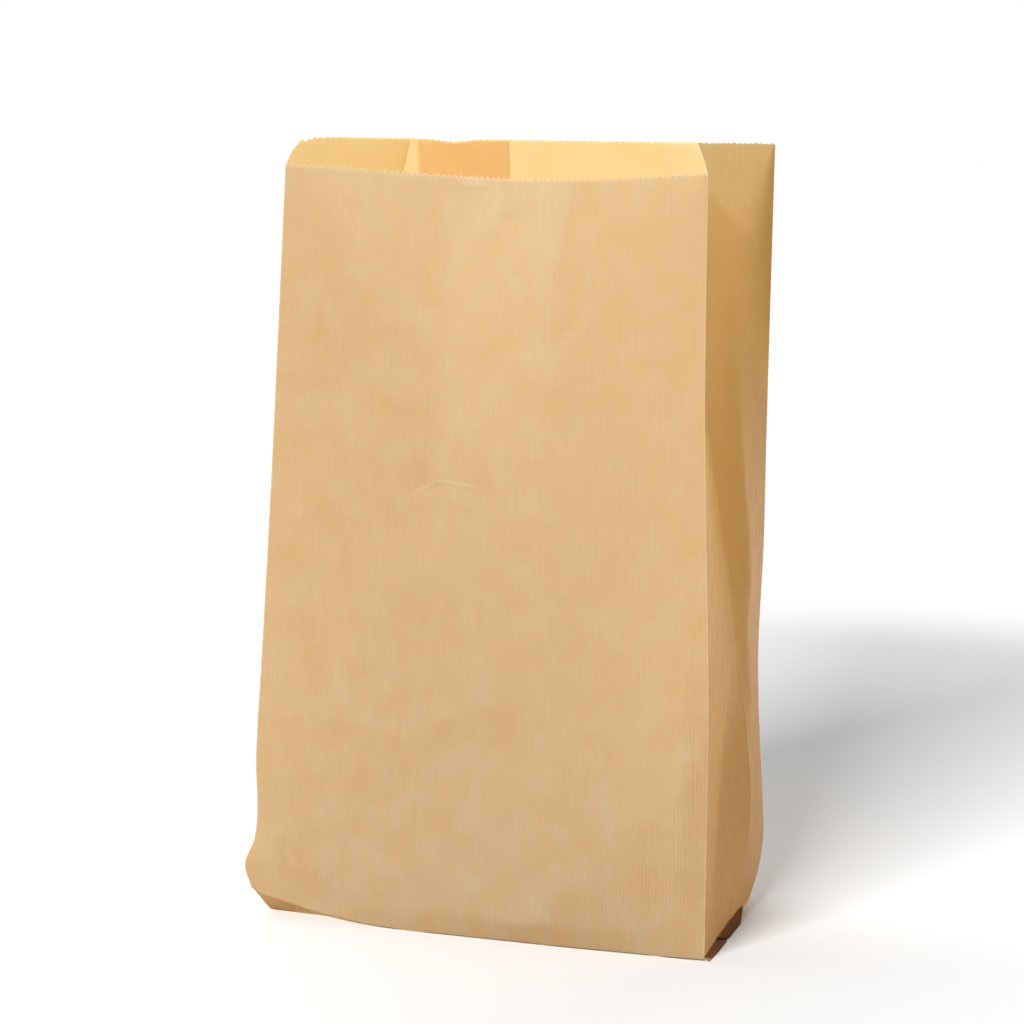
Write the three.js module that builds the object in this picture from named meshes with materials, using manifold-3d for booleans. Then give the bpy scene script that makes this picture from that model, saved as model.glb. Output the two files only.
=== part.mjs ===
// A paper bread bag, standing open: one sheet of ribbed kraft paper folded to a tube with a side gusset on
// each hand, cut to teeth round the mouth, and folded under and glued to make the base.
// Millimetres, +Z up. The front panel faces -Y, and the bag stands on the floor at z = 0.
import * as THREE from "three";
import { mergeVertices } from "three/addons/utils/BufferGeometryUtils.js";
import Module from "manifold-3d";

// The sheet, as it is cut and creased
const panelWidth = 220; // flat width of the front panel and of the back panel
const gussetHalf = 62; // flat width of each half of a side gusset, from panel edge to centre crease
const backHeight = 357; // floor to the tips of the teeth, at the back and the gussets
const frontDrop = 12.5; // the front panel is cut lower than the rest by this
const rightSlantRun = 13; // width of the slanted cut on the right gusset, from the front cut to the full height
const leftSlantRun = 7; // and on the left gusset
const toothPitch = 3.05;
const toothHeight = 1.8;
const paper = 0.2; // sheet thickness
const flapPly = 0.7; // thickness of the folded plies of the base flap

// How the bag stands
const baseDepth = 114; // front fold to back fold at the base
const rimTilt = 3; // the mouth is higher on the left than on the right by this
const frontSag = 4.5; // the front cut dips below its corners by this
const sagSkew = 1.3; // above 1, the lowest place of that dip is right of the middle
const gussetBulge = 7; // the lower gusset stands out past its panel edges by this
const bulgeHeight = 55; // height of that bulge
const flatHeight = 145; // height at which the gusset lies flat, tucked in above and bulged out below
const frontValley = 6; // depth of the soft upright fold that dents the front at the mouth
const frontRidge = 5; // height of the soft upright fold beside it
const valleyPlace = 97; // from the front's left edge to the dent
const ridgePlace = 153; // from the front's left edge to the ridge
const waveFoot = 130; // height at which those two folds have died out
const frontBelly = 3; // the front's swell at half height
const footBelly = 2; // the front's swell at the base fold
const backBelly = 9; // the back's swell at half height
const cornerFoldHeight = 88; // the fold across the front's lower right corner starts up the edge by this
const cornerFoldRun = 90; // and ends along the bottom by this
const cornerFoldProud = 3.5; // it stands proud by this
const cornerFoldFade = 70; // it dies out above over this
const cornerFoldInset = 10; // and towards the edge and the base over this
const gussetCrease = 5; // depth of the crease in the lower part of a gusset's front half
const gussetSwell = 3; // swell of the lower part of a gusset's back half
const gussetFormTop = 128; // height at which that crease and that swell end

// The base: how high its folded edge lies above the floor at each corner, and how the middle lies on the floor
const rightFrontLift = 1.5;
const rightMiddleLift = 9;
const rightBackLift = 33;
const leftFrontLift = 12;
const leftMiddleLift = 12;
const leftBackLift = 30;
const gussetFootCurve = 1.8; // above 1, a gusset's foot climbs to the back slowly at first
const leftLiftRun = 80; // the front fold leaves the floor over this width at its left end
const rightLiftRun = 25; // and over this width at its right end
const floorReach = 78; // the base lies on its flap from the front fold back to here, and then climbs
const rightEndRise = 28; // the base climbs to its right fold over this width
const leftEndRise = 6; // and rolls up to its left fold over this width
const frontRoll = 8; // the base comes down to its flap over this depth behind the front fold
const flapEndReach = 68; // the ends of the flap reach back this far from the front fold
const flapTaper = 55; // over this width the flap's back edge runs from its end to its middle part
const flapInset = 1; // the flap lies this far inside the folds of the base
const flapStepStart = 34; // the flap's front edge stands back with the roll over this width at its left end
const flapStepEnd = 61; // and has come forward to the front fold by here

// The mesh: how many columns and rows of facets the sheet is drawn with
const panelColumns = 18;
const gussetColumns = 5;
const wallRows = 20;
const rowGrading = 1.25; // above 1, the rows are closer together near the base
const edgeColumn = 2 * toothPitch; // width of the narrow columns at the edges of the front and the back

const halfWidth = panelWidth / 2;
const halfDepth = baseDepth / 2;

// A smooth curve through values at rising heights, for one or more numbers at each height.
function smoothCurve(heights, values, size = 1) {
  return new THREE.CubicInterpolant(heights, values.flat(), size, new Float64Array(size));
}

// A panel edge: how far it is drawn in from the sides and from the front or back at each height.
function panelEdge(sideways, forwards, knots) {
  const heights = knots.map((knot) => knot.height);
  const places = knots.map((knot) => [
    sideways * (halfWidth - knot.inward),
    forwards * (halfDepth - knot.setback),
  ]);
  const curve = smoothCurve(heights, places, 2);
  return (z) => new THREE.Vector2().fromArray(curve.evaluate(z));
}

const frontRight = panelEdge(1, -1, [
  { height: 0, inward: 0, setback: 0.5 },
  { height: 105, inward: -0.5, setback: 1.5 },
  { height: 235, inward: 2.8, setback: 3 },
  { height: backHeight, inward: 2.7, setback: 4 },
]);
const frontLeft = panelEdge(-1, -1, [
  { height: leftFrontLift, inward: 1.2, setback: 2 },
  { height: 23, inward: -2.4, setback: 2.5 },
  { height: 36, inward: 2.2, setback: 4 },
  { height: 75, inward: 1.6, setback: 8 },
  { height: 125, inward: 3.1, setback: 13 },
  { height: 195, inward: 5.4, setback: 19 },
  { height: backHeight, inward: 8.8, setback: 34 },
]);
const backRight = panelEdge(1, 1, [
  { height: rightBackLift, inward: 2.5, setback: 0 },
  { height: 115, inward: 5.5, setback: 3 },
  { height: 170, inward: 3, setback: 5 },
  { height: 220, inward: 2, setback: 6.5 },
  { height: backHeight, inward: -1.5, setback: 11 },
]);
const backLeft = panelEdge(-1, 1, [
  { height: leftBackLift, inward: 2, setback: 0 },
  { height: 125, inward: 5, setback: 3 },
  { height: 230, inward: 2, setback: 5 },
  { height: backHeight, inward: -2, setback: 6 },
]);

// The outward side of the line from one corner to the next, going round the bag against the clock.
function outwardOf(from, to) {
  return new THREE.Vector2(to.y - from.y, from.x - to.x).normalize();
}

// A gusset's centre crease: tucked in at the mouth as far as its two halves allow, flat lower down, and
// bulged out above the base.
function gussetEdge(first, second, foot) {
  const mouthSpan = first(backHeight).distanceTo(second(backHeight));
  const mouthTuck = Math.sqrt(Math.max(gussetHalf ** 2 - (mouthSpan / 2) ** 2, 0));
  const tuck = smoothCurve([foot, bulgeHeight, flatHeight, backHeight], [0, -gussetBulge, 0, mouthTuck]);
  return (z) => {
    const middle = first(z).add(second(z)).multiplyScalar(0.5);
    const inward = outwardOf(first(z), second(z)).multiplyScalar(-tuck.evaluate(z)[0]);
    return middle.add(inward);
  };
}

const middleRight = gussetEdge(frontRight, backRight, rightMiddleLift);
const middleLeft = gussetEdge(backLeft, frontLeft, leftMiddleLift);

// Soft upright folds at the front's mouth: a dent and a ridge that die out downwards.
const frontFolds = smoothCurve(
  [0, valleyPlace / panelWidth, ridgePlace / panelWidth, 1],
  [0, -frontValley, frontRidge, 0],
);

// The fold that crosses the front's lower right corner, proud along its line and flat at the corner.
function cornerFold(t, z) {
  const across = (1 - t) * panelWidth;
  const length = Math.hypot(cornerFoldHeight, cornerFoldRun);
  const reach = (cornerFoldHeight * cornerFoldRun) / length;
  const above = (across * cornerFoldHeight + z * cornerFoldRun) / length - reach;
  const share = above > 0 ? 1 - above / cornerFoldFade : 1 + above / reach;
  const fromEdges = Math.min(1, across / cornerFoldInset, z / cornerFoldInset);
  return cornerFoldProud * fromEdges * Math.max(share, 0);
}

function frontBow(t, z) {
  const folds = frontFolds.evaluate(t)[0] * THREE.MathUtils.smoothstep(z, waveFoot, backHeight);
  const up = z / backHeight;
  const swell = Math.sin(Math.PI * t) * (frontBelly * Math.sin(Math.PI * up) + footBelly * (1 - up));
  return folds + swell + cornerFold(t, z);
}

function backBow(t, z) {
  return backBelly * Math.sin(Math.PI * t) * Math.sin((Math.PI * z) / backHeight);
}

// The crease in the lower part of a gusset's front half, deepest where the gusset bulges.
function creaseBow(t, z) {
  const depth = gussetCrease * Math.sin(Math.PI * Math.min(1, z / gussetFormTop));
  return -depth * (1 - Math.abs(2 * t - 1));
}

// The swell in the lower part of a gusset's back half, fullest at the base fold.
function swellBow(t, z) {
  return gussetSwell * Math.sin(Math.PI * t) * Math.max(0, 1 - z / gussetFormTop);
}

// The tube's six panels in order round the bag, seen from above against the clock
const panels = [
  { from: frontLeft, to: frontRight, bow: frontBow, columns: panelColumns, width: panelWidth },
  { from: frontRight, to: middleRight, bow: creaseBow, columns: gussetColumns, width: gussetHalf },
  { from: middleRight, to: backRight, bow: swellBow, columns: gussetColumns, width: gussetHalf },
  { from: backRight, to: backLeft, bow: backBow, columns: panelColumns, width: panelWidth },
  { from: backLeft, to: middleLeft, bow: swellBow, columns: gussetColumns, width: gussetHalf },
  { from: middleLeft, to: frontLeft, bow: creaseBow, columns: gussetColumns, width: gussetHalf },
];
const [frontPanel, rightFrontHalf, rightBackHalf, backPanel, leftBackHalf, leftFrontHalf] = panels;

// A point of the sheet: on a panel, at a share of its width and a height above the floor.
function onSheet(panel, share, z) {
  const from = panel.from(z);
  const to = panel.to(z);
  const outward = outwardOf(from, to).multiplyScalar(panel.bow(share, z));
  const place = from.lerp(to, share).add(outward);
  return new THREE.Vector3(place.x, place.y, z);
}

// Height of the folded edge of the base under a panel.
function footHeight(panel, share) {
  const { lerp } = THREE.MathUtils;
  switch (panel) {
    case rightFrontHalf:
      return lerp(rightFrontLift, rightMiddleLift, share);
    case rightBackHalf:
      return lerp(rightMiddleLift, rightBackLift, share ** gussetFootCurve);
    case backPanel:
      return lerp(rightBackLift, leftBackLift, share);
    case leftBackHalf:
      return lerp(leftMiddleLift, leftBackLift, (1 - share) ** gussetFootCurve);
    case leftFrontHalf:
      return lerp(leftMiddleLift, leftFrontLift, share);
    default: {
      const leftShare = Math.max(0, 1 - (share * panelWidth) / leftLiftRun);
      const rightShare = Math.max(0, 1 - ((1 - share) * panelWidth) / rightLiftRun);
      return leftFrontLift * leftShare ** 2 + rightFrontLift * rightShare ** 2;
    }
  }
}

// Height of the cut edge at the tips of its teeth. Each gusset climbs to its full height over the slanted cut.
function rimHeight(panel, share) {
  const x = onSheet(panel, share, backHeight).x;
  const full = backHeight - (rimTilt * x) / panelWidth;
  const slant = (fromFront, run) => full - frontDrop * Math.max(0, 1 - (fromFront * gussetHalf) / run);
  if (panel === frontPanel) return full - frontDrop - frontSag * Math.sin(Math.PI * share ** sagSkew);
  if (panel === rightFrontHalf) return slant(share, rightSlantRun);
  if (panel === leftFrontHalf) return slant(1 - share, leftSlantRun);
  return full;
}

// Shares of a panel's width at which its columns stand. The front and the back have a narrow column at each
// edge, and a gusset's front half has one for the slanted cut beside the front panel.
function columnShares(panel) {
  const even = Array.from({ length: panel.columns }, (_, i) => i / panel.columns);
  const edge = edgeColumn / panelWidth;
  const between = (i) => edge + ((1 - 2 * edge) * (i - 1)) / (panel.columns - 2);
  if (panel.width === panelWidth) return even.map((_, i) => (i === 0 ? 0 : between(i)));
  const pastSlant = (run, i) => {
    const slant = run / gussetHalf;
    return slant + ((1 - slant) * (i - 1)) / (panel.columns - 1);
  };
  if (panel === rightFrontHalf) return even.map((_, i) => (i === 0 ? 0 : pastSlant(rightSlantRun, i)));
  if (panel === leftFrontHalf) return even.map((_, i) => 1 - pastSlant(leftSlantRun, panel.columns - i));
  return even;
}

// Walls: columns of points from the base fold to the foot of the teeth, closed into a ring.
const points = [];
const triangles = [];
const addPoint = (point) => points.push(point) - 1;

const columns = panels.flatMap((panel) => columnShares(panel).map((share) => ({ panel, share })));
for (const column of columns) {
  const foot = footHeight(column.panel, column.share);
  const rim = rimHeight(column.panel, column.share) - toothHeight;
  column.ids = Array.from({ length: wallRows + 1 }, (_, row) => {
    const z = THREE.MathUtils.lerp(foot, rim, (row / wallRows) ** rowGrading);
    return addPoint(onSheet(column.panel, column.share, z));
  });
}

// Two facets between neighbouring points, on the side that faces out.
function addQuad(lowerLeft, lowerRight, upperRight, upperLeft) {
  triangles.push([lowerLeft, lowerRight, upperRight], [lowerLeft, upperRight, upperLeft]);
}

// The teeth above one column, and the facets that join their feet to the row below.
function addTeeth(column, next, endShare) {
  const { panel, share } = column;
  const width = (endShare - share) * panel.width;
  const isSlant =
    (panel === rightFrontHalf && share === 0) || (panel === leftFrontHalf && endShare === 1);
  const count = isSlant ? 0 : Math.max(1, Math.round(width / toothPitch));
  const feet = [column.ids[wallRows]];
  for (let tooth = 0; tooth < count; tooth += 1) {
    const tipShare = THREE.MathUtils.lerp(share, endShare, (tooth + 0.5) / count);
    const footShare = THREE.MathUtils.lerp(share, endShare, (tooth + 1) / count);
    const tip = addPoint(onSheet(panel, tipShare, rimHeight(panel, tipShare)));
    const isLast = tooth === count - 1;
    const footPlace = () => onSheet(panel, footShare, rimHeight(panel, footShare) - toothHeight);
    const foot = isLast ? next.ids[wallRows] : addPoint(footPlace());
    triangles.push([feet[feet.length - 1], foot, tip]);
    feet.push(foot);
  }
  if (count === 0) feet.push(next.ids[wallRows]);
  const lowerLeft = column.ids[wallRows - 1];
  const lowerRight = next.ids[wallRows - 1];
  const middle = Math.floor(feet.length / 2);
  for (let i = 1; i < feet.length; i += 1) {
    triangles.push([i <= middle ? lowerLeft : lowerRight, feet[i], feet[i - 1]]);
  }
  triangles.push([lowerLeft, lowerRight, feet[middle]]);
}

columns.forEach((column, i) => {
  const next = columns[(i + 1) % columns.length];
  const endShare = next.panel === column.panel ? next.share : 1;
  for (let row = 0; row < wallRows - 1; row += 1) {
    addQuad(column.ids[row], next.ids[row], next.ids[row + 1], column.ids[row + 1]);
  }
  addTeeth(column, next, endShare);
});

// The base: a patch between the four folded edges, let down onto its flap in the middle.
const baseRows = 2 * gussetColumns;
const footOf = (i) => columns[(i + columns.length) % columns.length].ids[0];
const frontFoot = (i) => footOf(i);
const rightFoot = (j) => footOf(panelColumns + j);
const backFoot = (i) => footOf(2 * panelColumns + baseRows - i);
const leftFoot = (j) => footOf(-j);

// How far a fold has rolled down at a distance from its edge: fast at first, then level.
function rolledShare(distance, run) {
  return Math.sin((Math.PI / 2) * Math.min(1, distance / run));
}

function basePoint(i, j) {
  const t = i < panelColumns ? columns[i].share : 1;
  const s = j / baseRows;
  const at = (id, weight) => points[id].clone().multiplyScalar(weight);
  const place = at(frontFoot(i), 1 - s)
    .add(at(backFoot(i), s))
    .add(at(leftFoot(j), 1 - t))
    .add(at(rightFoot(j), t))
    .sub(at(frontFoot(0), (1 - t) * (1 - s)))
    .sub(at(frontFoot(panelColumns), t * (1 - s)))
    .sub(at(backFoot(0), (1 - t) * s))
    .sub(at(backFoot(panelColumns), t * s));
  const fromFront = s * baseDepth;
  const laid =
    THREE.MathUtils.smoothstep((1 - t) * panelWidth, 0, rightEndRise) *
    rolledShare(t * panelWidth, leftEndRise) *
    rolledShare(fromFront, frontRoll);
  const climb = Math.max(0, (fromFront - floorReach) / (baseDepth - floorReach)) ** gussetFootCurve;
  const onFlap = flapPly - paper / 2 + climb * points[backFoot(i)].z;
  place.z = THREE.MathUtils.lerp(place.z, onFlap, laid);
  return addPoint(place);
}

const baseIds = Array.from({ length: baseRows + 1 }, (_, j) =>
  Array.from({ length: panelColumns + 1 }, (_, i) => {
    if (j === 0) return frontFoot(i);
    if (j === baseRows) return backFoot(i);
    if (i === 0) return leftFoot(j);
    if (i === panelColumns) return rightFoot(j);
    return basePoint(i, j);
  }),
);
for (let j = 0; j < baseRows; j += 1) {
  for (let i = 0; i < panelColumns; i += 1) {
    addQuad(baseIds[j + 1][i], baseIds[j + 1][i + 1], baseIds[j][i + 1], baseIds[j][i]);
  }
}

// The sheet gets its thickness inwards, along the mean direction of the facets round each point.
function thickened(sheetPoints, sheetTriangles, thickness) {
  const sheet = new THREE.BufferGeometry().setFromPoints(sheetPoints).setIndex(sheetTriangles.flat());
  sheet.computeVertexNormals();
  const normals = sheet.getAttribute("normal");
  const inner = sheetPoints.map((point, i) =>
    new THREE.Vector3().fromBufferAttribute(normals, i).multiplyScalar(-thickness).add(point),
  );
  const offset = sheetPoints.length;
  const edges = new Set(sheetTriangles.flatMap(([a, b, c]) => [`${a},${b}`, `${b},${c}`, `${c},${a}`]));
  const cutEdges = [...edges]
    .map((edge) => edge.split(",").map(Number))
    .filter(([a, b]) => !edges.has(`${b},${a}`));
  const solid = new THREE.BufferGeometry().setFromPoints([...sheetPoints, ...inner]);
  solid.setIndex([
    ...sheetTriangles.flat(),
    ...sheetTriangles.flatMap(([a, b, c]) => [a + offset, c + offset, b + offset]),
    ...cutEdges.flatMap(([a, b]) => [b, a, a + offset, b, a + offset, b + offset]),
  ]);
  return solid;
}

// The base flap: the folded plies that lie on the floor under the base, from the front fold to past the middle.
function baseFlap() {
  const front = -halfDepth + flapInset;
  const rollFoot = front + frontRoll;
  const reach = -halfDepth + floorReach;
  const endReach = -halfDepth + flapEndReach;
  const right = halfWidth - flapInset;
  const left = -halfWidth + leftEndRise;
  const outline = new THREE.Shape([
    new THREE.Vector2(right, front),
    new THREE.Vector2(right, endReach),
    new THREE.Vector2(right - flapTaper, reach),
    new THREE.Vector2(left + flapTaper, reach),
    new THREE.Vector2(left, endReach),
    new THREE.Vector2(left, rollFoot),
    new THREE.Vector2(left + flapStepStart, rollFoot),
    new THREE.Vector2(left + flapStepEnd, front),
  ]);
  return new THREE.ExtrudeGeometry(outline, { depth: flapPly, bevelEnabled: false });
}

const wasm = await Module();
wasm.setup();

function solidOf(geometry) {
  const bare = new THREE.BufferGeometry()
    .setAttribute("position", geometry.getAttribute("position"))
    .setIndex(geometry.index);
  const merged = mergeVertices(bare, 1e-3);
  return new wasm.Manifold(
    new wasm.Mesh({
      numProp: 3,
      vertProperties: merged.getAttribute("position").array,
      triVerts: new Uint32Array(merged.index.array),
    }),
  );
}

function geometryOf(solid) {
  const mesh = solid.getMesh();
  const geometry = new THREE.BufferGeometry();
  geometry.setAttribute("position", new THREE.BufferAttribute(mesh.vertProperties, 3));
  geometry.setIndex(new THREE.BufferAttribute(mesh.triVerts, 1));
  return geometry;
}

const bag = geometryOf(solidOf(thickened(points, triangles, paper)).add(solidOf(baseFlap())));

// The part's origin is on the floor, under the middle of the bag's box.
bag.computeBoundingBox();
const middle = bag.boundingBox.getCenter(new THREE.Vector3());
bag.translate(-middle.x, -middle.y, -bag.boundingBox.min.z);

const kraftPaper = new THREE.MeshStandardMaterial({ color: 0xe1be91, roughness: 0.7, metalness: 0 });
const paperBag = new THREE.Mesh(bag, kraftPaper);
paperBag.name = "paper_bag";

const breadBag = new THREE.Group();
breadBag.name = "bread_bag";
breadBag.add(paperBag);

export default breadBag;
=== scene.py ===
# A paper bread bag that stands open on a white table, seen a little from its right.
import math
from bisect import bisect_right

import bmesh
import bpy
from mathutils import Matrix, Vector, noise


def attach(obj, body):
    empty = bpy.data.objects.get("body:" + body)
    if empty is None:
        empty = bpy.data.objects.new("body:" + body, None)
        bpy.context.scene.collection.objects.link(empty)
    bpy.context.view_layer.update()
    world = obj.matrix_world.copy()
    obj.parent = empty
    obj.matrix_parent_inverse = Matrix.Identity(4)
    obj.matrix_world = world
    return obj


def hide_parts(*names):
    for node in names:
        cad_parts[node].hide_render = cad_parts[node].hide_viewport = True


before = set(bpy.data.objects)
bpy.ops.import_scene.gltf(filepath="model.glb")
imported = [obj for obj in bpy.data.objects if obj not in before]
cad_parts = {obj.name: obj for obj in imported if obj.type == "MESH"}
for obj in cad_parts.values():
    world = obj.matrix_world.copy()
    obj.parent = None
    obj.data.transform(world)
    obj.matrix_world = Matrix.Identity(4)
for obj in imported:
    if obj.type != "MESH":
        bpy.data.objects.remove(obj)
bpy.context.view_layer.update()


# The folded web: one length of ribbed kraft paper of about 0.1 mm, drawn 0.2 mm thick. It is creased to a
# front panel, a back panel and a gusset on each hand, and its two ends are lapped and glued down the back.
# Its sizes are in millimetres, measured from the middle of the base.
mm = 0.001
panel_width = 220.0
gusset_half = 62.0
lap_width = 46.0
back_height = 357.0
front_drop = 12.5
right_slant_run = 13.0
tooth_pitch = 3.05
front_tooth = 1.25
back_tooth = 0.6
fold_radius = 0.6
paper = 0.2
base_depth = 114.0
rim_tilt = 3.0
lap_dip, lap_dip_share, lap_dip_reach = 1.3, 0.71, 0.04
front_sag = 4.5
sag_skew = 1.3
gusset_bulge = 7.0
bulge_height = 55.0
flat_height, flat_tuck = 145.0, 1.2
half_width = panel_width / 2
half_depth = base_depth / 2


def mix(a, b, share):
    return a * (1 - share) + b * share


def smooth_step(value, low, high):
    share = min(1.0, max(0.0, (value - low) / (high - low)))
    return share * share * (3 - 2 * share)


def smooth_curve(*knots):
    """Gives the value at any place, on a smooth curve through (place, value) knots."""
    places, values = zip(*knots)
    runs = [b - a for a, b in zip(places, places[1:])]
    chords = [(b - a) / run for a, b, run in zip(values, values[1:], runs)]
    slopes = [chords[0], *((a + b) / 2 for a, b in zip(chords, chords[1:])), chords[-1]]

    def value_at(place):
        place = min(max(place, places[0]), places[-1])
        i = min(bisect_right(places, place) - 1, len(runs) - 1)
        t = (place - places[i]) / runs[i]
        start = values[i] * (1 + 2 * t) + slopes[i] * (runs[i] * t)
        end = values[i + 1] * (3 - 2 * t) - slopes[i + 1] * (runs[i] * (1 - t))
        return start * (1 - t) ** 2 + end * t**2

    return value_at


def straight_line(*knots):
    """Gives the value at any place, on straight lines through (place, value) knots."""
    places, values = zip(*knots)

    def value_at(place):
        place = min(max(place, places[0]), places[-1])
        i = min(bisect_right(places, place) - 1, len(places) - 2)
        return mix(values[i], values[i + 1], (place - places[i]) / (places[i + 1] - places[i]))

    return value_at


def eased(profile, place, reach):
    """A profile's mean over a short reach, which rounds its corners."""
    steps = (-1, -0.5, 0, 0.5, 1)
    return sum(profile(place + reach * step) for step in steps) / len(steps)


def panel_edge(sideways, forwards, *knots):
    """A panel edge, from how far it is drawn in sideways and set back at each height."""
    return smooth_curve(
        *(
            (height, Vector((sideways * (half_width - inward), forwards * (half_depth - setback))))
            for height, inward, setback in knots
        )
    )


right_front_lift, right_middle_lift, right_back_lift = 0.3, 7.0, 33.0
left_front_lift, left_middle_lift, left_back_lift = 12.0, 12.0, 30.0
front_right = panel_edge(1, -1, (0, 0, 0.5), (105, -0.5, 1.5), (235, 2.8, 3), (back_height, 2.7, 4))
front_left = panel_edge(
    -1, -1,
    (left_front_lift, 1.2, 2), (23, -2.4, 2.5), (36, 2.2, 4), (75, 1.6, 8),
    (125, 3.1, 13), (195, 5.4, 19), (back_height, 8.8, 34),
)
back_right = panel_edge(
    1, 1, (right_back_lift, 2.5, 0), (115, 5.5, 3), (170, 3, 5), (220, 2, 6.5), (back_height, -1.5, 11)
)
back_left = panel_edge(-1, 1, (left_back_lift, 2, 0), (125, 5, 3), (230, 2, 5), (back_height, -2, 6))


def outward_of(start, end):
    """The outer side of the line from one corner to the next, going round against the clock."""
    return Vector((end.y - start.y, start.x - end.x)).normalized()


def gusset_edge(first, second, foot):
    """A gusset's centre crease: tucked in at the mouth, flat lower down, bulged out above the base."""
    mouth_span = (first(back_height) - second(back_height)).length
    mouth_tuck = math.sqrt(max(gusset_half**2 - (mouth_span / 2) ** 2, 0))
    tuck = smooth_curve(
        (foot, 0), (bulge_height, -gusset_bulge), (flat_height, flat_tuck), (back_height, mouth_tuck)
    )

    def place_at(z):
        start, end = first(z), second(z)
        return (start + end) / 2 - outward_of(start, end) * tuck(z)

    return place_at


middle_right = gusset_edge(front_right, back_right, right_middle_lift)
middle_left = gusset_edge(back_left, front_left, left_middle_lift)

# The front panel's two long soft folds, its flattened lower right corner, and its short creases, each from
# one (share of the width, height) place to another with a width and a depth.
front_belly, foot_belly = 0.8, 1.5
fold_depth, fold_proud, fold_foot, fold_ease = 6.0, 5.0, 50.0, 0.02
valley_share = straight_line((210, 0.385), (340, 0.42))
ridge_share = straight_line((155, 0.645), (340, 0.685))
corner_height, corner_run, corner_proud, corner_fade, corner_inset = 88.0, 90.0, 3.5, 70.0, 10.0
curl_share, curl_width, curl_proud, curl_foot, curl_top = 0.44, 0.05, 1.6, 333.0, 346.0
front_creases = [
    ((0.29, 199), (0.47, 204), 5, -0.7),
    ((0.32, 194), (0.40, 203), 4, 0.5),
    ((0.655, 268), (0.72, 274), 6, -0.9),
    ((0.50, 318), (0.60, 325), 6, -0.9),
    ((0.46, 316), (0.54, 320), 6, 0.6),
    ((0.06, 36), (0.14, 4), 7, -1.4),
    ((0.02, 44), (0.12, 30), 5, 0.9),
    ((0.0, 20), (0.07, 22), 4, -0.6),
]


def crease_bow(t, z, start, end, width, depth):
    """How far a short crease, tapered to its ends, moves a place of the front."""
    start, end = (Vector((share * panel_width, height)) for share, height in (start, end))
    here, run = Vector((t * panel_width, z)) - start, end - start
    along = here.dot(run) / run.length_squared
    if not 0 < along < 1:
        return 0.0
    away = (here - run * along).length / width
    return depth * math.sin(math.pi * along) * max(0.0, 1 - away) ** 2


def front_bow(t, z):
    profile = straight_line((0, 0), (valley_share(z), -fold_depth), (ridge_share(z), fold_proud), (1, 0))
    bow = eased(profile, t, fold_ease) * smooth_step(z, fold_foot, back_height)
    up = z / back_height
    bow += math.sin(math.pi * t) * (front_belly * math.sin(math.pi * up) + foot_belly * (1 - up))
    across = (1 - t) * panel_width
    length = math.hypot(corner_height, corner_run)
    reach = corner_height * corner_run / length
    above = (across * corner_height + z * corner_run) / length - reach
    share = 1 - above / corner_fade if above > 0 else 1 + above / reach
    bow += corner_proud * min(1, across / corner_inset, z / corner_inset) * max(share, 0)
    curl = math.exp(-(((t - curl_share) / curl_width) ** 2))
    bow += curl_proud * smooth_step(z, curl_foot, curl_top) * curl
    return bow + sum(crease_bow(t, z, *crease) for crease in front_creases)


back_belly = 9.0
gusset_crease, gusset_swell, gusset_form_top = 5.0, 3.0, 128.0
crease_ease, bend_ease = 0.05, 0.03
crease_share = smooth_curve((5, 0.36), (60, 0.45), (118, 0.8))
bend_share = smooth_curve((100, 0.15), (133, 0.2), (160, 0.28), (205, 0.28), (255, 0.4), (300, 0.6))
bend_proud = smooth_curve(
    (85, 0), (110, 2.2), (133, 3.5), (160, 5.5), (205, 7.5), (225, 7.5), (255, 5), (320, 0)
)


def back_bow(t, z):
    return back_belly * math.sin(math.pi * t) * math.sin(math.pi * z / back_height)


def dented_bow(from_front, z):
    """The slanting crease in the lower part of a gusset's front half."""
    valley = straight_line((0, 0), (crease_share(z), 1), (1, 0))
    depth = gusset_crease * math.sin(math.pi * min(1, z / gusset_form_top))
    return -depth * eased(valley, from_front, crease_ease)


def swell_bow(from_crease, z):
    """The swell of a gusset's back half above the base, and the soft upright bend over it."""
    bend = straight_line((0, 0), (bend_share(z), bend_proud(z)), (1, 0))
    swell = gusset_swell * math.sin(math.pi * from_crease) * max(0, 1 - z / gusset_form_top)
    return swell + eased(bend, from_crease, bend_ease)


def mirrored(bow):
    """The same bow for the gusset on the other hand."""
    return lambda t, z: bow(1 - t, z)


broad_wave, broad_pitch, fine_wave, fine_pitch, wave_fade = 0.55, 42.0, 0.2, 13.0, 12.0


class Panel:
    """One panel of the tube, from one of its creases to the next, against the clock from above."""

    def __init__(self, start, end, bow, width):
        self.start, self.end, self.bow, self.width = start, end, bow, width
        self.teeth = round(width / tooth_pitch)

    def point(self, share, z):
        start, end = self.start(z), self.end(z)
        flat = mix(start, end, share)
        here = Vector((flat.x, flat.y, z))
        from_fold = min(share, 1 - share) * self.width
        waves = broad_wave * noise.noise(here / broad_pitch) + fine_wave * noise.noise(here / fine_pitch)
        bow = self.bow(share, z) + waves * min(1, from_fold / wave_fade)
        return here + outward_of(start, end).to_3d() * bow


front = Panel(front_left, front_right, front_bow, panel_width)
right_front_half = Panel(front_right, middle_right, dented_bow, gusset_half)
right_back_half = Panel(middle_right, back_right, swell_bow, gusset_half)
back = Panel(back_right, back_left, back_bow, panel_width)
left_back_half = Panel(back_left, middle_left, mirrored(swell_bow), gusset_half)
left_front_half = Panel(middle_left, front_left, mirrored(dented_bow), gusset_half)

left_foot_curve = 1.8
left_lift_run, right_lift_run = 80.0, 25.0
right_foot_start = 1.8
right_climb = smooth_curve((0, right_middle_lift), (0.22, 8.2), (0.45, 16), (1, right_back_lift))


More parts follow.
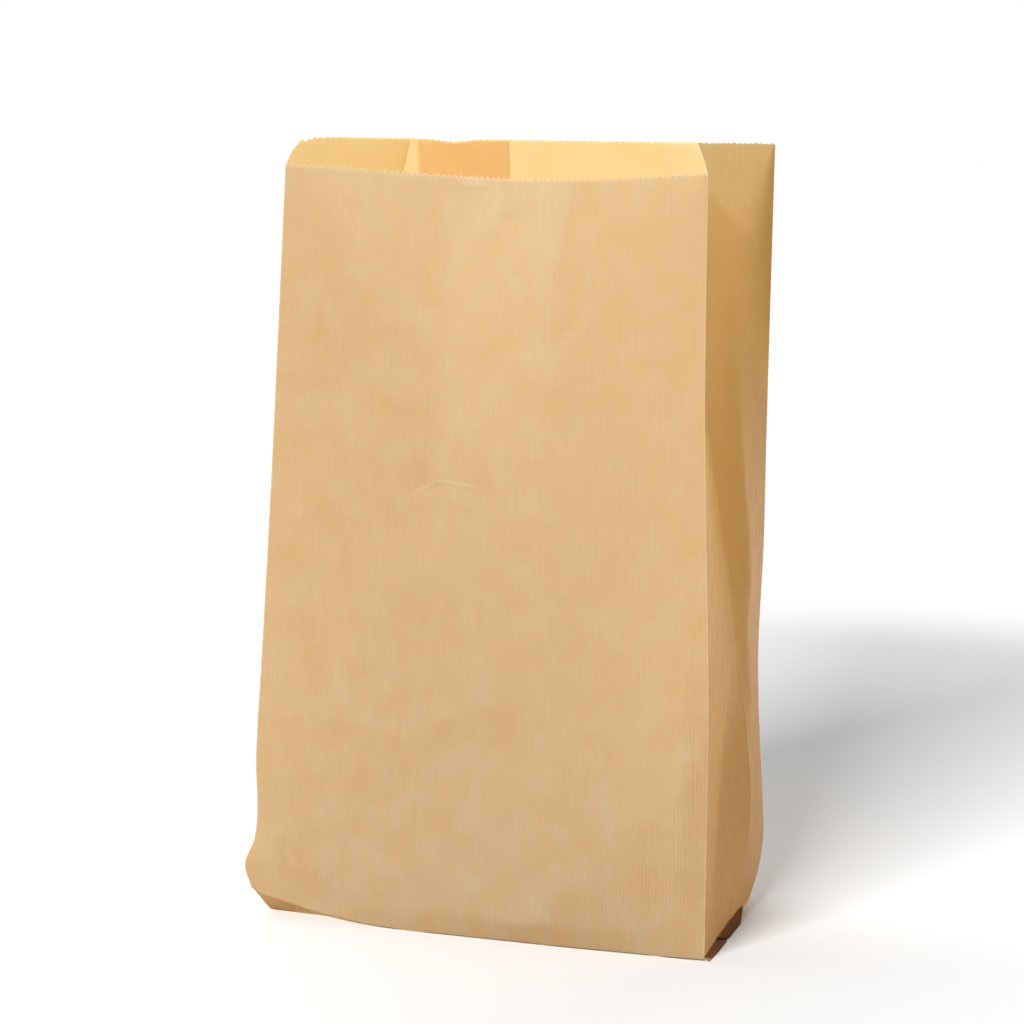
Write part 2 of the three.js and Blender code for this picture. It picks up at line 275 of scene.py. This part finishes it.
def foot_height(panel, share):
    """Height of the base fold under a panel."""
    if panel is right_front_half:
        return mix(right_foot_start, right_middle_lift, share) if share else right_front_lift
    if panel is right_back_half:
        return right_climb(share)
    if panel is back:
        return mix(right_back_lift, left_back_lift, share)
    if panel is left_back_half:
        return mix(left_middle_lift, left_back_lift, (1 - share) ** left_foot_curve)
    if panel is left_front_half:
        return mix(left_middle_lift, left_front_lift, share)
    left = max(0, 1 - share * panel_width / left_lift_run)
    right = max(0, 1 - (1 - share) * panel_width / right_lift_run)
    return left_front_lift * left**2 + right_front_lift * right**2


# How far the cut drops on the left gusset, by the distance from its front fold.
left_slant = straight_line((0, front_drop), (4.6, 2), (9, 1.6), (14, 0))


def rim_height(panel, share):
    """Height of the cut at the feet of its teeth."""
    x = panel.point(share, back_height).x
    full = back_height - rim_tilt * x / panel_width - front_tooth / 3
    if panel is front:
        return full - front_drop - front_sag * math.sin(math.pi * share**sag_skew)
    if panel is right_front_half:
        return full - front_drop * max(0, 1 - share * gusset_half / right_slant_run)
    if panel is left_front_half:
        return full - left_slant((1 - share) * gusset_half)
    if panel is back:
        return full - lap_dip * math.exp(-(((share - lap_dip_share) / lap_dip_reach) ** 2))
    return full


def column_shares(panel):
    """Shares of a panel's width where columns stand: one to a tooth, and one beside each fold."""
    near = fold_radius / panel.width
    return [0, near, *(tooth / panel.teeth for tooth in range(1, panel.teeth)), 1 - near]


# The web starts at the inner edge of the lap, goes once round the tube, and ends at the lap's outer edge.
lap_first_tooth, lap_rise_before, lap_rise_after = 42, 0.02, 0.01
lap_start = lap_first_tooth / back.teeth
lap_end = lap_start + lap_width / panel_width
web_columns = [(back, share) for share in column_shares(back) if share >= lap_start]
for panel in (left_back_half, left_front_half, front, right_front_half, right_back_half):
    web_columns += [(panel, share) for share in column_shares(panel)]
first_outer = len(web_columns)
web_columns += [(back, share) for share in column_shares(back) if share <= lap_end]
across_web = [0.0]
for (panel, share), (_, next_share) in zip(web_columns, web_columns[1:]):
    across_web.append(across_web[-1] + ((next_share or 1) - share) * panel.width)
wall_rows = 136
row_shares = [0, fold_radius / back_height, *(row / (wall_rows - 1) for row in range(1, wall_rows))]


def lap_offset(column, share):
    """The outer ply of the lap lies on the inner one."""
    if column < first_outer:
        return 0.0
    return 2 * paper * smooth_step(share, lap_start - lap_rise_before, lap_start + lap_rise_after)


mesh = bmesh.new()
sheet_uv = mesh.loops.layers.uv.new("Sheet")
fold_line = mesh.verts.layers.float.new("fold")


def new_grid(columns, rows):
    """Adds a flat grid to the mesh, and gives its points with the column and the row of each."""
    before = set(mesh.verts)
    bmesh.ops.create_grid(mesh, x_segments=columns - 1, y_segments=rows - 1, size=0.5)
    return [
        (vert, round((vert.co.x + 0.5) * (columns - 1)), round((vert.co.y + 0.5) * (rows - 1)))
        for vert in mesh.verts
        if vert not in before
    ]


def set_on_sheet(vert, across, down):
    """Notes where a point lies on the flat sheet, in metres across it and down from its cut."""
    for loop in vert.link_loops:
        loop[sheet_uv].uv = (across * mm, down * mm)


rim = set()
for vert, column, row in new_grid(len(web_columns), len(row_shares)):
    panel, share = web_columns[column]
    rim_z = rim_height(panel, share)
    z = mix(foot_height(panel, share), rim_z, row_shares[row])
    vert.co = panel.point(share, z)
    if panel is back:
        vert.co += outward_of(back_right(z), back_left(z)).to_3d() * lap_offset(column, share)
    # Fold points get a pale tint: partly the pale fibres of a crease, partly a painted highlight on the fold.
    vert[fold_line] = 1.0 if share == 0 or row == 0 else 0.0
    set_on_sheet(vert, across_web[column], rim_z - z)
    if row == len(row_shares) - 1:
        rim.add(vert)

# The mouth is cut by a toothed knife: each level edge of the rim as wide as a tooth gets its tip. The tips are
# uneven, and lower from the middle of the gussets back.
front_teeth_end, back_teeth_start = -30.0, 10.0
tip_unevenness, tip_pitch = 0.7, 4.0
rim_edges = [
    edge
    for edge in mesh.edges
    if rim.issuperset(edge.verts)
    and edge.calc_length() > tooth_pitch / 2
    and abs(edge.verts[0].co.z - edge.verts[1].co.z) < tooth_pitch / 3
]
cut = bmesh.ops.subdivide_edges(mesh, edges=rim_edges, cuts=1)
for vert in cut["geom_inner"]:
    if isinstance(vert, bmesh.types.BMVert):
        tooth = mix(front_tooth, back_tooth, smooth_step(vert.co.y, front_teeth_end, back_teeth_start))
        vert.co.z += tooth * (1 + tip_unevenness * noise.noise(vert.co / tip_pitch))

# The base: the lower end of the tube folded in and glued, a patch between the four base folds that is let
# down to the table in the middle and climbs to the back.
floor_reach, end_roll, front_roll, ply_stack = 78.0, 6.0, 8.0, 0.7
front_shares = [*column_shares(front), 1]
gusset_shares = column_shares(right_front_half)
gusset_shares += [1 + share for share in column_shares(right_back_half)]
gusset_shares.append(2)


def foot_point(panel, share):
    return panel.point(share, foot_height(panel, share))


def right_foot(share):
    return foot_point(right_front_half, share) if share < 1 else foot_point(right_back_half, share - 1)


def left_foot(share):
    return foot_point(left_front_half, 1 - share) if share < 1 else foot_point(left_back_half, 2 - share)


def rolled(distance, run):
    """How far a fold has rolled down at a distance from its edge: fast at first, then level."""
    return math.sin(math.pi / 2 * min(1, distance / run))


def base_point(t, s):
    """A point of the base at a share of its width and, from 0 to 2, of its depth."""
    deep = s / 2
    front_foot, back_foot = foot_point(front, t), foot_point(back, 1 - t)
    place = mix(front_foot, back_foot, deep) + mix(left_foot(s), right_foot(s), t)
    place -= mix(mix(left_foot(0), right_foot(0), t), mix(left_foot(2), right_foot(2), t), deep)
    from_front = deep * base_depth
    laid = rolled((1 - t) * panel_width, end_roll) * rolled(t * panel_width, end_roll)
    laid *= rolled(from_front, front_roll)
    climb = max(0, (from_front - floor_reach) / (base_depth - floor_reach)) ** left_foot_curve
    place.z = mix(place.z, ply_stack - paper / 2 + climb * back_foot.z, laid)
    return place


base_faces, finish = set(), {}
# Slot 2 holds the slit's near-black painted shadow, slot 3 the plies' kraft painted darker as shade.
slit_shadow_slot, ply_slot = 2, 3
for vert, column, row in new_grid(len(front_shares), len(gusset_shares)):
    t, s = front_shares[column], gusset_shares[row]
    vert.co = base_point(t, s)
    set_on_sheet(vert, t * panel_width, back_height + s / 2 * base_depth)
    base_faces.update(vert.link_faces)

# The flap: the end of the web folded under the base and glued, from behind the front fold to past the
# middle. Its left end stands back from the front, and its corners are cut off at the back.
# The flap takes the plies' kraft, painted darker brown as shade.
flap_left, flap_right = 6 - half_width, half_width - 1
flap_front, flap_lift = 3 - half_depth, 0.05
flap_step_start, flap_step_end, flap_taper, flap_end_reach = 34.0, 61.0, 55.0, 68.0
flap_columns, flap_rows = 60, 12
flap_start = straight_line(
    (flap_left + flap_step_start, flap_front + front_roll), (flap_left + flap_step_end, flap_front)
)
flap_end = straight_line(
    (flap_left, flap_end_reach - half_depth),
    (flap_left + flap_taper, floor_reach - half_depth),
    (flap_right - flap_taper, floor_reach - half_depth),
    (flap_right, flap_end_reach - half_depth),
)
for vert, column, row in new_grid(flap_columns, flap_rows):
    x = mix(flap_left, flap_right, column / (flap_columns - 1))
    y = mix(flap_start(x), flap_end(x), row / (flap_rows - 1))
    vert.co = (x, y, flap_lift)
    set_on_sheet(vert, x, back_height + y)
    base_faces.update(vert.link_faces)
    finish.update((face, ply_slot) for face in vert.link_faces)
bmesh.ops.reverse_faces(mesh, faces=list(base_faces))

# The end plies: the folded right end of the base, two plies that show below the gusset with a slit between
# them, and a near-black sheet behind the slit, painted shadow for the shade in it. The two plies are kraft
# painted darker brown, as painted shade under the gusset. Each has the ends of its top and of its foot, the
# heights of its ends and its depth.
end_top, ply_lift, shadow_sheet_foot_share, ply_fold_down = 109.5, 0.2, 0.4, 60.0
end_foot = straight_line((-57, 112.4), (-41, 112.4), (-22, 111.6), (3, 110.7))
ply_columns, ply_rows = 16, 4
end_plies = [
    ((-56.6, -36), (-57, -24), (1.7, 3.6), 0),
    ((-32.5, 13), (-20.5, 3), (4.0, 7.9), 0),
    ((-44, -24), (-34, -10), (2.9, 4.0), 1.5),
]
for tops, feet, heights, depth in end_plies:
    for vert, column, row in new_grid(ply_columns, ply_rows):
        along, up = column / (ply_columns - 1), row / (ply_rows - 1)
        foot_y = mix(*feet, along)
        x = mix(end_foot(foot_y), end_top, up) - depth * mix(shadow_sheet_foot_share, 1, up)
        y = mix(foot_y, mix(*tops, along), up)
        vert.co = (x, y, mix(ply_lift, mix(*heights, along), up))
        set_on_sheet(vert, y, back_height + ply_fold_down + up)
        finish.update((face, slit_shadow_slot if depth else ply_slot) for face in vert.link_faces)

for face in mesh.faces:
    face.smooth = True
    face.material_index = finish.get(face, 0)
weld_reach = 0.02
bmesh.ops.remove_doubles(mesh, verts=mesh.verts, dist=weld_reach)
for edge in mesh.edges:
    edge.smooth = not edge.is_boundary and not all(vert[fold_line] == 1 for vert in edge.verts)
# The part's frame starts at the middle of the whole bag, a little off the middle of its base.
bag_middle = Vector((0.46, 0.264, 0))
bmesh.ops.translate(mesh, verts=mesh.verts, vec=-bag_middle)
bmesh.ops.scale(mesh, verts=mesh.verts, vec=(mm, mm, mm))
bag_mesh = bpy.data.meshes.new("paper_web")
mesh.to_mesh(bag_mesh)
mesh.free()
bag = bpy.data.objects.new("paper_web", bag_mesh)
bpy.context.collection.objects.link(bag)
thickness = bag.modifiers.new("paper", "SOLIDIFY")
thickness.thickness = paper * mm
thickness.offset = -1
thickness.material_offset = 1


class Mark:
    """A socket in a node tree. Sums and products of marks and numbers add their Math nodes."""

    def __init__(self, tree, socket=None):
        self.tree, self.socket = tree, socket

    def node(self, kind, settings, inputs, output=0):
        made = self.tree.nodes.new("ShaderNode" + kind)
        for name, value in settings.items():
            setattr(made, name, value)
        for name, value in inputs.items():
            if isinstance(value, Mark):
                self.tree.links.new(value.socket, made.inputs[name])
            else:
                made.inputs[name].default_value = value
        return Mark(self.tree, made.outputs[output]) if made.outputs else None

    def maths(self, operation, *values):
        return self.node("Math", {"operation": operation}, dict(enumerate(values)))

    def __add__(self, other):
        return self.maths("ADD", self, other)

    def __sub__(self, other):
        return self.maths("SUBTRACT", self, other)

    def __rsub__(self, other):
        return self.maths("SUBTRACT", other, self)

    def __mul__(self, other):
        return self.maths("MULTIPLY", self, other)

    def clamped(self):
        return self.node("Clamp", {}, {"Value": self})


def bare_tree(owner):
    """The emptied node tree of a material or a world, to add nodes to."""
    owner.use_nodes = True
    owner.node_tree.nodes.clear()
    return Mark(owner.node_tree)


rib_pitch, cut_width = 0.0016, 0.001
kraft_tan = (0.78, 0.67, 0.45, 1)
kraft_orange = (0.77, 0.59, 0.34, 1)
kraft_pale = (0.85, 0.79, 0.65, 1)
kraft_worn_and_highlight = (0.94, 0.91, 0.85, 1)
# Painted shade: a darker brown for the plies under the gusset.
ply_shade_brown = (0.82, 0.46, 0.25, 1)
# Painted shadow: near-black for the shade in the slit between the plies.
slit_shadow_dark = (0.06, 0.03, 0.02, 1)
light_through = (0.96, 0.82, 0.55, 1)

# Marks where the front was crumpled: the middle of each on the flat sheet, its half length and half width
# in millimetres, its turn in degrees and its rise.
crumple_marks = [
    ((296, 139.5), 11, 1.3, -28, 1.0),
    ((314, 136), 15, 1.3, 2, 1.0),
    ((374, 66), 7, 2.2, -10, 1.0),
    ((339, 17), 9, 2.0, 0, -0.8),
    ((238, 316), 10, 2.0, 35, 0.6),
    ((430, 251), 8, 2.5, -8, 0.8),
    ((316, 2.5), 10, 2.5, 0, 1.5),
]


def kraft(name, ground, paleness, roughness, gloss, rib_height, through_share, marks=()):
    """Kraft paper: fine upright ribs, cloudy fibres, pale cut edges and marks, folds paler partly from their
    fibres and partly as a painted highlight, and light through it.
    """
    material = bpy.data.materials.new(name)
    tree = bare_tree(material)
    sheet = tree.node("UVMap", {"uv_map": "Sheet"}, {})
    across = tree.node("SeparateXYZ", {}, {0: sheet}, output="X")
    down = tree.node("SeparateXYZ", {}, {0: sheet}, output="Y")
    cloud = tree.node("TexNoise", {}, {"Vector": sheet, "Scale": 60.0, "Detail": 4.0, "Roughness": 0.68})
    grain = tree.node("TexNoise", {}, {"Vector": sheet, "Scale": 420.0, "Detail": 2.0, "Roughness": 0.65})
    along_fibre = tree.node("Mapping", {}, {"Vector": sheet, "Scale": (1.0, 0.06, 1.0)})
    fibre_look = {"Vector": along_fibre, "Scale": 900.0, "Detail": 1.0, "Roughness": 0.5}
    fibre = tree.node("TexNoise", {}, fibre_look)
    fold = tree.node("Attribute", {"attribute_name": "fold"}, {}, output="Fac")
    ribs = tree.maths("SINE", across * (2 * math.pi / rib_pitch))
    cut_edge = ((cut_width - down) * (1 / cut_width)).clamped()
    crumple = 0.0
    for middle, half_length, half_breadth, turn, rise in marks:
        place = {
            "Vector": sheet,
            "Location": Vector(middle).to_3d() * mm,
            "Rotation": (0, 0, math.radians(turn)),
            "Scale": (half_length * mm, half_breadth * mm, 1),
        }
        here = tree.node("Mapping", {"vector_type": "TEXTURE"}, place)
        away = tree.node("VectorMath", {"operation": "DOT_PRODUCT"}, {0: here, 1: here}, output="Value")
        crumple = (1 - away).clamped() * rise + crumple
    # The weights of the three colour shares and of the relief were set beside the photograph.
    orange_share = ((cloud - 0.42) * 2.4 + (grain - 0.5) * 0.8).clamped() * 0.75
    pale_share = ((fibre - 0.5) * 0.9 + (0.5 - cloud) * 1.8 + ribs * 0.16 + paleness).clamped()
    # Paler on the cut edge and the crumple marks, and along the folds: there partly pale crease fibres, partly
    # a painted highlight.
    wear_and_highlight_share = (cut_edge * 0.7 + fold * 0.8 + crumple * 0.3).clamped()
    colour = tree.node("Mix", {"data_type": "RGBA"}, {0: orange_share, 6: ground, 7: kraft_orange}, output=2)
    colour = tree.node("Mix", {"data_type": "RGBA"}, {0: pale_share, 6: colour, 7: kraft_pale}, output=2)
    colour = tree.node("Mix", {"data_type": "RGBA"}, {0: wear_and_highlight_share, 6: colour, 7: kraft_worn_and_highlight}, output=2)
    relief = ribs * rib_height + fibre * 0.2 + crumple * 4.0
    bump = tree.node("Bump", {}, {"Height": relief, "Strength": 0.35, "Distance": 0.00012})
    face = tree.node(
        "BsdfPrincipled",
        {},
        {
            "Base Color": colour,
            "Roughness": ((fibre - 0.5) * 0.1 + roughness).clamped(),
            "Specular IOR Level": gloss,
            "Normal": bump,
        },
    )
    through = tree.node("BsdfTranslucent", {}, {"Color": light_through})
    paper_face = tree.node("MixShader", {}, {0: through_share, 1: face, 2: through})
    tree.node("OutputMaterial", {}, {"Surface": paper_face})
    return material


bag_mesh.materials.append(
    kraft(
        "kraft_glazed_outside", kraft_tan,
        paleness=0.16, roughness=0.28, gloss=0.15, rib_height=0.6, through_share=0.5, marks=crumple_marks,
    )
)
# The rough, unglazed inside: paler partly as its own face, partly as painted light for the strong light
# falling in and through it.
bag_mesh.materials.append(
    kraft(
        "kraft_rough_inside_painted_light", kraft_tan,
        paleness=0.8, roughness=0.75, gloss=0.2, rib_height=0.3, through_share=0.8,
    )
)
# The slit's backing: near-black, painted shadow for the shade in the slit.
slit_shadow_material = bpy.data.materials.new("painted_slit_shadow")
slit_shadow_tree = bare_tree(slit_shadow_material)
slit_shadow_face = slit_shadow_tree.node("BsdfPrincipled", {}, {"Base Color": slit_shadow_dark, "Roughness": 0.7})
slit_shadow_tree.node("OutputMaterial", {}, {"Surface": slit_shadow_face})
bag_mesh.materials.append(slit_shadow_material)
# The end plies and the flap: kraft painted darker brown with no pale share, as painted shade.
bag_mesh.materials.append(
    kraft(
        "kraft_glued_plies_painted_shade", ply_shade_brown,
        paleness=-1, roughness=0.9, gloss=0, rib_height=0.3, through_share=0.2,
    )
)
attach(bag, "root")
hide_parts("paper_bag")


# The table: a wide white top, which shows as plain white where it is lit and keeps the bag's shadow.
# It sends less light back to the bag than it shows.
table_reach = 40.0
table_bmesh = bmesh.new()
bmesh.ops.create_grid(table_bmesh, x_segments=1, y_segments=1, size=table_reach)
table_mesh = bpy.data.meshes.new("table")
table_bmesh.to_mesh(table_mesh)
table_bmesh.free()
table = bpy.data.objects.new("table", table_mesh)
bpy.context.collection.objects.link(table)


def shown_white(tree):
    """One where the white is looked at, also in gloss or through paper, and nought where it only lights."""
    camera_ray = tree.node("LightPath", {}, {}, output="Is Camera Ray")
    glossy_ray = tree.node("LightPath", {}, {}, output="Is Glossy Ray")
    transmission_ray = tree.node("LightPath", {}, {}, output="Is Transmission Ray")
    return (camera_ray + glossy_ray + transmission_ray).clamped()


white_lift = 0.11
white_for_light, white_for_sight = 0.1, 0.74
table_white = bpy.data.materials.new("table_white")
table_tree = bare_tree(table_white)
table_shown = shown_white(table_tree)
white_level = table_shown * (white_for_sight - white_for_light) + white_for_light
white_top = table_tree.node("BsdfDiffuse", {}, {"Color": white_level})
white_glow = table_tree.node("Emission", {}, {"Color": (1, 1, 1, 1), "Strength": table_shown * white_lift})
white_face = table_tree.node("AddShader", {}, {0: white_top, 1: white_glow})
table_tree.node("OutputMaterial", {}, {"Surface": white_face})
table_mesh.materials.append(table_white)


# The studio: two soft lamps high on the left, one in front and one behind, light the bag. A row of low lamps
# in front lights the table and throws the bag's shadow back and to the right. A white room glows behind the
# bag on the left.
def studio_lamp(name, lit_piece, turn, height, level, spread):
    """A far lamp that lights one piece, by its turn from the front, its height and its spread in degrees."""
    turn, height = math.radians(turn), math.radians(height)
    lamp_data = bpy.data.lights.new(name, "SUN")
    lamp_data.energy = level * math.pi
    lamp_data.angle = math.radians(spread)
    lamp = bpy.data.objects.new(name, lamp_data)
    level_reach = math.cos(height)
    lamp_from = Vector((math.sin(turn) * level_reach, -math.cos(turn) * level_reach, math.sin(height)))
    lamp.rotation_euler = lamp_from.to_track_quat("Z", "Y").to_euler()
    lamp.light_linking.receiver_collection = bpy.data.collections.new(name)
    lamp.light_linking.receiver_collection.objects.link(lit_piece)
    bpy.context.collection.objects.link(lamp)


studio_lamp("bag_lamp", bag, turn=-28, height=40, level=1.0, spread=5)
studio_lamp("top_lamp", bag, turn=-115, height=60, level=0.6, spread=20)
for turn in (-22, -15.5, -9, -2.5, 4):
    studio_lamp("table_lamp", table, turn, height=24.6, level=0.4, spread=7)
room_front, room_back = 0.02, 1.9
glow_start, glow_gain, glow_rise, glow_floor = 0.3, 1.8, 1.2, 0.4
room = bpy.data.worlds.new("room")
room_tree = bare_tree(room)
facing = room_tree.node("TexCoord", {}, {}, output="Generated")
rightwards = room_tree.node("SeparateXYZ", {}, {0: facing}, output="X")
backwards = room_tree.node("SeparateXYZ", {}, {0: facing}, output="Y")
upwards = room_tree.node("SeparateXYZ", {}, {0: facing}, output="Z")
glow_side = ((backwards - rightwards - glow_start) * glow_gain).clamped()
towards_glow = glow_side * (upwards * glow_rise + glow_floor).clamped()
room_level = towards_glow * (room_back - room_front) + room_front
room_shown = shown_white(room_tree)
room_strength = room_shown + (1 - room_shown) * room_level
room_light = room_tree.node("Background", {}, {"Color": (1, 1, 1, 1), "Strength": room_strength})
room_tree.node("OutputWorld", {}, {"Surface": room_light})
bpy.context.scene.world = room


# The camera: it stands in front of the bag's right half and looks a little down on it, with a long lens as in
# the photograph.
camera_data = bpy.data.cameras.new("camera")
camera_data.sensor_width = 36.0
camera_data.lens = 94.92
camera_data.clip_end = 100.0
camera_turn, camera_dip = math.radians(19.563), math.radians(7.845)
looking = Vector(
    (
        -math.sin(camera_turn) * math.cos(camera_dip),
        math.cos(camera_turn) * math.cos(camera_dip),
        -math.sin(camera_dip),
    )
)
camera = bpy.data.objects.new("camera", camera_data)
camera.location = (0.41407, -1.16575, 0.35707)
camera.rotation_euler = (-looking).to_track_quat("Z", "Y").to_euler()
bpy.context.collection.objects.link(camera)
bpy.context.scene.camera = camera
bpy.context.scene.view_settings.view_transform = "Standard"
